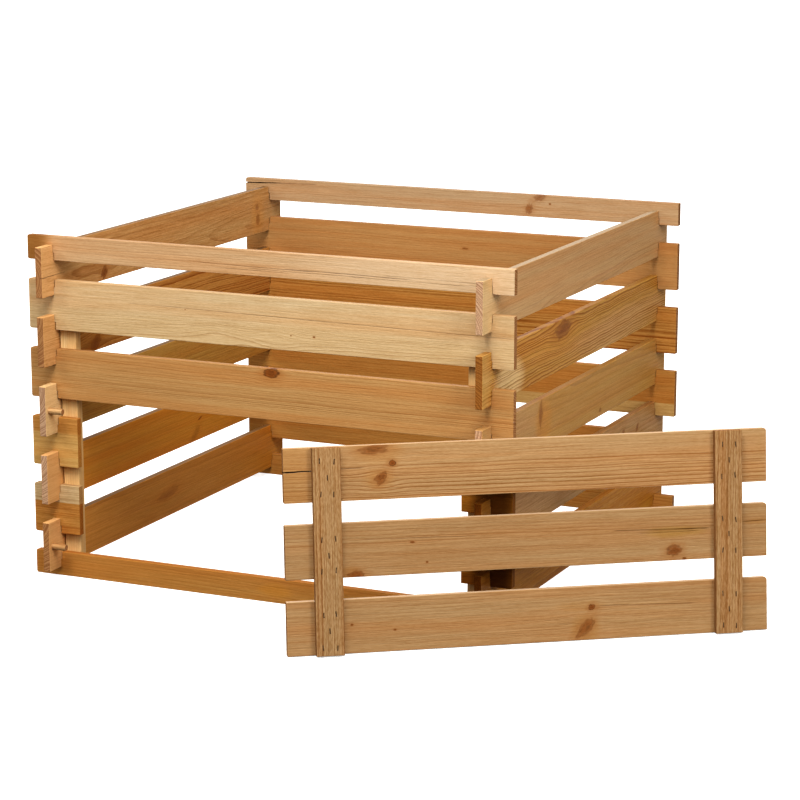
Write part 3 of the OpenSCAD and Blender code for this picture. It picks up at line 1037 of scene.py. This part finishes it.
def cut_crack(piece, half, crack, chance):
    """Cuts a drying crack into a board's outer face, which wanders and closes towards its end."""
    start = -half.x - CLEAR
    reach = crack.end_along - start
    cutter = add_box("crack", (start, -half.y - CLEAR, -crack.width / 2),
                     (crack.end_along, -half.y + crack.depth, crack.width / 2))
    inner = [start + reach * share for share in CRACK_SHARES]
    divide(cutter, inner)
    slope = (crack.end_up - crack.start_up) / (crack.end_along + half.x)
    for x in (start, *inner, crack.end_along):
        share = max(0, x + half.x) / (crack.end_along + half.x)
        open_share = max(0.06, 1 - share ** 3) * chance.uniform(0.8, 1.1)
        rise = crack.start_up + slope * (x + half.x) + chance.uniform(-CRACK_WANDER, CRACK_WANDER)
        with editing(cutter, "VERT"):
            choose(cutter, "verts", lambda v: abs(v.co.x - x) < TINY)
            bpy.ops.transform.resize(value=(1, 1, open_share))
            bpy.ops.transform.translate(value=(0, 0, rise))
    cut_away(piece, [cutter])


def bore_hole(piece, timber, peg):
    """Bores a board for the peg that is glued into it."""
    low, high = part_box(peg)
    middle = timber.place.inverted() @ ((Vector(low) + Vector(high)) / 2)
    reach = timber.size.y / 2 + CLEAR
    cut_away(piece, [add_rod("bore", (middle.x, -reach, middle.z), (0, 1, 0), 2 * reach,
                             (high[2] - low[2]) / 2 + PEG_PLAY)])
    bevel_sharp(piece, BORE_BREAK, 1)


def finish_timber(context, piece, node, timber, shift=0):
    """Cracks, smooths and places a sawn piece, and gives it its own pine."""
    grain = GRAINS[node]
    for crack in grain.cracks:
        cut_crack(piece, timber.size / 2, crack, random.Random(node + "_crack"))
    smooth(piece)
    move_to(piece, timber.place @ Matrix.Translation((0, -shift, 0)))
    settle(piece, node, Pine("pine_" + node, timber, grain, context.scene.composter.tones).finished())


def make_boards(context, nodes, way, ends=(-1, 1), foot=True, head=True):
    """Models one notched board, and copies it to each node, seasoned and finished apart."""
    boards = context.scene.composter.boards
    radii = (boards.crisp_end, boards.worn_end) if way == DEPTHWISE else (boards.worn_end, boards.crisp_end)
    if len(ends) == 1:
        radii = (boards.worn_end, 0)
    master = None
    for node in nodes:
        timber = Timber(node, way)
        if master is None:
            master = notched("master_board", timber.size, boards, radii, ends, foot, head)
        piece = copy_piece(master, "sawn_" + node)
        if node in PEG_OF:
            bore_hole(piece, timber, PEG_OF[node])
        shift = season(piece, timber.size.x, boards, random.Random(node)) if len(ends) == 2 else 0
        finish_timber(context, piece, node, timber, shift)
    delete(master)


def make_wall(context, wall, full):
    """Models a wall's top half board, its full-length boards and its bottom half board."""
    make_boards(context, [wall + "_board_1"], LENGTHWISE, head=False)
    make_boards(context, [f"{wall}_board_{tier}" for tier in full], LENGTHWISE)
    make_boards(context, [wall + "_bottom_board"], LENGTHWISE, foot=False)


class BuildFrontBoards(bpy.types.Operator):
    """Models the full-length boards of the front wall"""
    bl_idname = "composter.front_boards"
    bl_label = "Front Boards"

    def execute(self, context):
        make_wall(context, "front", (2, 3))
        return {"FINISHED"}


class BuildShortBoards(bpy.types.Operator):
    """Models the short boards on both sides of the front opening"""
    bl_idname = "composter.short_boards"
    bl_label = "Short Boards"

    def execute(self, context):
        for side in ("left", "right"):
            nodes = [f"front_stub_{row}_{side}" for row in ("upper", "lower")]
            way = LENGTHWISE if side == "left" else Matrix.Rotation(math.pi, 3, "Z")
            make_boards(context, nodes, way, ends=(-1,))
        return {"FINISHED"}


class BuildBackBoards(bpy.types.Operator):
    """Models the boards of the back wall"""
    bl_idname = "composter.back_boards"
    bl_label = "Back Boards"

    def execute(self, context):
        make_wall(context, "back", range(2, 6))
        return {"FINISHED"}


class BuildSideBoards(bpy.types.Operator):
    """Models the boards of the left and right walls"""
    bl_idname = "composter.side_boards"
    bl_label = "Side Boards"

    def execute(self, context):
        nodes = [f"{side}_board_{tier}" for side in ("left", "right") for tier in range(1, 6)]
        make_boards(context, nodes, DEPTHWISE)
        return {"FINISHED"}


# Battens, pegs and screws

def screw_blank(fixings, play=0.0):
    """Countersunk screw without its recess, its head's face at the origin and its point towards -Z."""
    head = fixings.head_width / 2 + play
    shank = fixings.screw_width / 2 + play
    taper = head - shank
    shank_length = fixings.screw_length - SCREW_POINT - SCREW_RIM - taper
    piece = add_rod("screw", (0, 0, 0), (0, 0, -1), SCREW_RIM, head, 32)
    for depth, share in ((taper, shank / head), (shank_length, 1), (SCREW_POINT, 0.12)):
        with editing(piece, "FACE"):
            lowest = min(v.co.z for v in bmesh.from_edit_mesh(piece.data).verts)
            choose(piece, "faces", lambda face: all(v.co.z < lowest + TINY for v in face.verts))
            bpy.ops.mesh.extrude_region_move(TRANSFORM_OT_translate={"value": (0, 0, -depth)})
            bpy.ops.transform.resize(value=(share, share, 1))
    return piece


def screw_places(fixings, side):
    """Places of the four screws that hold one corner batten, two in each short board."""
    low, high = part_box("corner_batten_" + side)
    places = []
    for row in ("upper", "lower"):
        foot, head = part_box(f"front_stub_{row}_{side}")
        middle = (foot[2] + head[2]) / 2
        for z in (-0.5, 0.5):
            spot = Vector(((low[0] + high[0]) / 2, high[1], middle + z * fixings.screw_spread))
            places.append(Matrix.Translation(spot) @ Matrix.Rotation(math.radians(-90), 4, "X"))
    return places


def copies(master, places, name):
    """Copies a master to each place, joined into one piece."""
    pieces = []
    for place in places:
        piece = copy_piece(master, name)
        move_to(piece, place)
        pieces.append(piece)
    delete(master)
    return join(name, pieces)


class BuildCornerBattens(bpy.types.Operator):
    """Models the battens inside the front corners, countersunk for their screws"""
    bl_idname = "composter.corner_battens"
    bl_label = "Corner Battens"

    def execute(self, context):
        settings = context.scene.composter
        for side in ("left", "right"):
            node = "corner_batten_" + side
            timber = Timber(node, UPRIGHT)
            piece = blank("sawn_" + node, timber.size, 0, 0, settings.boards.rounding)
            own = timber.place.inverted()
            sunk = [own @ place @ Matrix.Translation((0, 0, TINY))
                    for place in screw_places(settings.fixings, side)]
            cut_away(piece, [copies(screw_blank(settings.fixings, SCREW_PLAY), sunk, "sunk")])
            finish_timber(context, piece, node, timber)
        return {"FINISHED"}


class BuildCornerScrews(bpy.types.Operator):
    """Models the cross-recessed screws of the corner battens"""
    bl_idname = "composter.corner_screws"
    bl_label = "Corner Screws"

    def execute(self, context):
        settings = context.scene.composter
        master = screw_blank(settings.fixings)
        wing = settings.fixings.head_width * RECESS_SHARE
        for wide, tall in ((wing, RECESS_SLOT), (RECESS_SLOT, wing)):
            cut_away(master, [add_box("recess", (-wide, -tall, -RECESS_FLOOR), (wide, tall, CLEAR))])
        bevel_sharp(master, SCREW_BREAK, 2)
        places = [place @ Matrix.Translation((0, 0, -SCREW_SINK)) @ Matrix.Rotation(RECESS_TURN * i, 4, "Z")
                  for side in ("left", "right")
                  for i, place in enumerate(screw_places(settings.fixings, side))]
        piece = copies(master, places, "turned_corner_screws")
        smooth(piece)
        tones = settings.tones
        settle(piece, "corner_screws", metal("screw_zinc", tones.steel, tones.wire, 0.32, 0.35))
        return {"FINISHED"}


class BuildPegs(bpy.types.Operator):
    """Models the pegs that hold the front panel in its channel"""
    bl_idname = "composter.pegs"
    bl_label = "Pegs"

    def execute(self, context):
        for row in ("upper", "lower"):
            for side in ("left", "right"):
                node = f"peg_{row}_{side}"
                timber = Timber(node, LENGTHWISE)
                half = timber.size / 2
                piece = add_rod("turned_" + node, (-half.x, 0, 0), (1, 0, 0), timber.size.x, half.z)
                bevel_sharp(piece, PEG_ROUNDING, 3)
                finish_timber(context, piece, node, timber)
        return {"FINISHED"}


# Front panel

PANEL_ROWS = ("top", "middle", "bottom")


class BuildPanelBoards(bpy.types.Operator):
    """Models the three boards of the lift-out front panel"""
    bl_idname = "composter.panel_boards"
    bl_label = "Panel Boards"

    def execute(self, context):
        settings = context.scene.composter
        panel = settings.panel
        for row in PANEL_ROWS:
            node = "panel_board_" + row
            timber = Timber(node, panel_way(settings))
            piece = blank("sawn_" + node, timber.size, panel.left_radius, panel.right_radius,
                          settings.boards.rounding, panel.foot_radius)
            finish_timber(context, piece, node, timber)
        return {"FINISHED"}


def staple_places(settings, side):
    """Places of one batten's staples, five where it crosses each board, as the hand left them."""
    fixings = settings.fixings
    way = panel_way(settings)
    batten = Timber("panel_batten_" + side, way)
    chance = random.Random("staples_" + side)
    places = []
    for row in PANEL_ROWS:
        board = Timber("panel_board_" + row, way)
        left = batten.low.x + fixings.staple_edge
        right = batten.high.x - fixings.staple_edge
        foot = board.low.z + fixings.staple_foot
        head = board.high.z - fixings.staple_top
        middle = ((left + right) / 2, (foot + head) / 2)
        marks = [(left, foot), (right, foot), middle, (left, head), (right, head)]
        for x, z in marks:
            spot = Vector((x + chance.uniform(-1, 1) * fixings.scatter, batten.low.y + fixings.sink,
                           z + chance.uniform(-1.5, 1.5) * fixings.scatter))
            tilt = Matrix.Rotation(chance.uniform(-STAPLE_TILT, STAPLE_TILT), 4, "Y")
            places.append(way.to_4x4() @ Matrix.Translation(spot) @ tilt)
    return places


class BuildPanelBattens(bpy.types.Operator):
    """Models the two battens of the front panel, dented by their staples"""
    bl_idname = "composter.panel_battens"
    bl_label = "Panel Battens"

    def execute(self, context):
        settings = context.scene.composter
        fixings = settings.fixings
        for side in ("left", "right"):
            node = "panel_batten_" + side
            timber = Timber(node, panel_way(settings) @ UPRIGHT)
            piece = blank("sawn_" + node, timber.size, 0, 0, settings.boards.rounding)
            wide = fixings.staple_wire / 2 + DENT_BESIDE
            tall = fixings.staple_width / 2 + DENT_BEYOND
            dent = add_box("dent", (-wide, -CLEAR, -tall), (wide, fixings.staple_wire + DENT_BELOW, tall))
            own = timber.place.inverted()
            cut_away(piece, [copies(dent, [own @ place for place in staple_places(settings, side)], "dents")])
            bevel_sharp(piece, DENT_BREAK, 1)
            finish_timber(context, piece, node, timber)
        return {"FINISHED"}


class BuildPanelStaples(bpy.types.Operator):
    """Models the staples that hold the panel's boards to its battens"""
    bl_idname = "composter.panel_staples"
    bl_label = "Panel Staples"

    def execute(self, context):
        settings = context.scene.composter
        fixings = settings.fixings
        wire = fixings.staple_wire
        half = fixings.staple_width / 2
        staple = add_box("staple", (-wire / 2, 0, -half), (wire / 2, wire, half))
        divide(staple, (wire - half, half - wire), axis=2)
        with editing(staple, "FACE"):
            choose(staple, "faces", lambda face: face.normal.y > 0.9
                   and abs(face.calc_center_median().z) > half - wire)
            bpy.ops.mesh.extrude_region_move(
                TRANSFORM_OT_translate={"value": (0, fixings.staple_leg - wire - fixings.sink, 0)})
        bevel_sharp(staple, WIRE_BREAK, 2)
        places = [place for side in ("left", "right") for place in staple_places(settings, side)]
        piece = copies(staple, places, "driven_panel_staples")
        smooth(piece)
        tones = settings.tones
        settle(piece, "panel_staples", metal("staple_wire", tones.wire, tones.bark, 0.45, 0.6))
        return {"FINISHED"}


# Studio

class BuildStage(bpy.types.Operator):
    """Sets up the pale floor, the softboxes and the camera"""
    bl_idname = "composter.stage"
    bl_label = "Studio"

    def execute(self, context):
        scene = context.scene
        studio = scene.composter.studio
        bpy.ops.object.select_all(action="DESELECT")
        bpy.ops.mesh.primitive_plane_add(size=80, location=(0, 20, 0))
        apply_place()
        floor = context.object
        floor.name = "floor"
        floor.visible_diffuse = False
        finish = Finish(bpy.data.materials.new("floor_paper"))
        mottle = finish.node("ShaderNodeTexNoise", None, {"Scale": 3.0, "Detail": 2})
        shade = finish.scaled(tuple(studio.floor), mottle * 0.01 + 0.995)
        floor.data.materials.append(finish.surface(
            {"Base Color": shade}, {"Roughness": 0.9, "Emission Color": (1, 1, 1), "Emission Strength": 0.5}))

        centre = Vector((0.1, 0.3, 0.3))
        softboxes = {
            "softbox_left": ((-2.8, -3.6, 2.4), studio.left, 1.8),
            "softbox_right": ((4.0, -1.9, 1.9), studio.right, 1.6),
            "softbox_top": ((0.7, -1.9, 3.8), studio.top, 2.2),
            "softbox_back": ((-1.6, 4.4, 3.0), studio.back, 2.2),
        }
        for name, (place, power, width) in softboxes.items():
            light = bpy.data.lights.new(name, "AREA")
            light.energy = power
            light.size = width
            lamp = bpy.data.objects.new(name, light)
            lamp.location = place
            lamp.rotation_euler = (centre - Vector(place)).to_track_quat("-Z", "Y").to_euler()
            scene.collection.objects.link(lamp)

        room = Finish(bpy.data.worlds.new("studio_room"))
        direction = room.node("ShaderNodeTexCoord", None, None, "Generated")
        height = room.split(direction)[2]
        strength = height.smooth(0.05, 0.65) * (studio.ceiling - studio.wall) + studio.wall
        light = room.node("ShaderNodeBackground", None, {"Color": (1, 1, 1), "Strength": strength})
        room.node("ShaderNodeOutputWorld", None, {"Surface": light})
        scene.world = room.owner
        scene.view_settings.view_transform = "Standard"
        scene.view_settings.look = "Medium High Contrast"

        lens = bpy.data.cameras.new("camera")
        lens.lens = studio.lens
        lens.sensor_width = 36
        camera = bpy.data.objects.new("camera", lens)
        camera.location = studio.eye
        camera.rotation_euler = (math.pi / 2 - studio.dip, 0, studio.heading)
        scene.collection.objects.link(camera)
        scene.camera = camera
        return {"FINISHED"}


class ComposterSidebar(bpy.types.Panel):
    """Lists the steps of the composter"""
    bl_idname = "VIEW3D_PT_composter"
    bl_label = "Composter"
    bl_space_type = "VIEW_3D"
    bl_region_type = "UI"
    bl_category = "Composter"

    def draw(self, context):
        for step in STEPS:
            self.layout.operator(step.bl_idname)


STEPS = (
    BuildFrontBoards, BuildShortBoards, BuildBackBoards, BuildSideBoards, BuildCornerBattens,
    BuildCornerScrews, BuildPegs, BuildPanelBoards, BuildPanelBattens, BuildPanelStaples, BuildStage,
)
GROUPS = (
    ComposterBoards, ComposterPanel, ComposterFixings, ComposterTones, ComposterStudio, ComposterSettings,
)


def register():
    for kind in (*GROUPS, *STEPS, ComposterSidebar):
        bpy.utils.register_class(kind)
    bpy.types.Scene.composter = PointerProperty(type=ComposterSettings)


def unregister():
    del bpy.types.Scene.composter
    for kind in reversed((*GROUPS, *STEPS, ComposterSidebar)):
        bpy.utils.unregister_class(kind)


def main():
    register()
    for step in STEPS:
        group, name = step.bl_idname.split(".")
        getattr(getattr(bpy.ops, group), name)()


if __name__ == "__main__":
    main()
